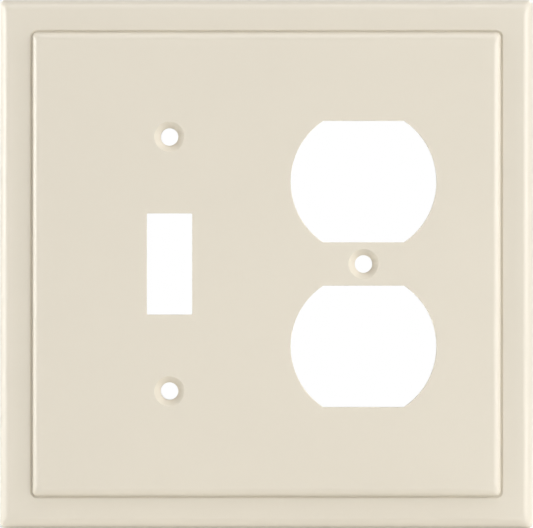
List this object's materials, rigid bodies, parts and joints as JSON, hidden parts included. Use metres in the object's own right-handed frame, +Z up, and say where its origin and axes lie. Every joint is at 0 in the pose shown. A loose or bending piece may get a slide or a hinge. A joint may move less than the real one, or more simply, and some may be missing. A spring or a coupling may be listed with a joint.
{
  "type": "combination wall plate for a toggle switch and a duplex receptacle",
  "caption": "Square moulded wall plate with a stepped border, a toggle switch opening beside a duplex receptacle opening, and its screws taped in the hollow back.",
  "frame": {"origin": "centre of the plate on the wall plane, which is the rim of its hollow back", "axes": "+X to the right seen from the front, +Y into the wall, +Z up; the face looks along -Y"},
  "size_m": [0.1264, 0.0086, 0.1254],
  "materials": {
    "plate_plastic": "smooth satin gloss, light almond",
    "screw_paint": "steel painted light almond",
    "tape_paper": "creped paper tape, straw coloured"
  },
  "bodies": {
    "plate": {"wall_plate": "plate_plastic"},
    "screw_pack": {"screw_tape": "tape_paper", "screw_1": "screw_paint", "screw_2": "screw_paint", "screw_3": "screw_paint"}
  },
  "joints": [
    {"name": "screw_pack_removal", "type": "slide", "parent": "plate", "child": "screw_pack", "axis": [0, 1, 0], "range_m": [0, 0.03]}
  ]
}
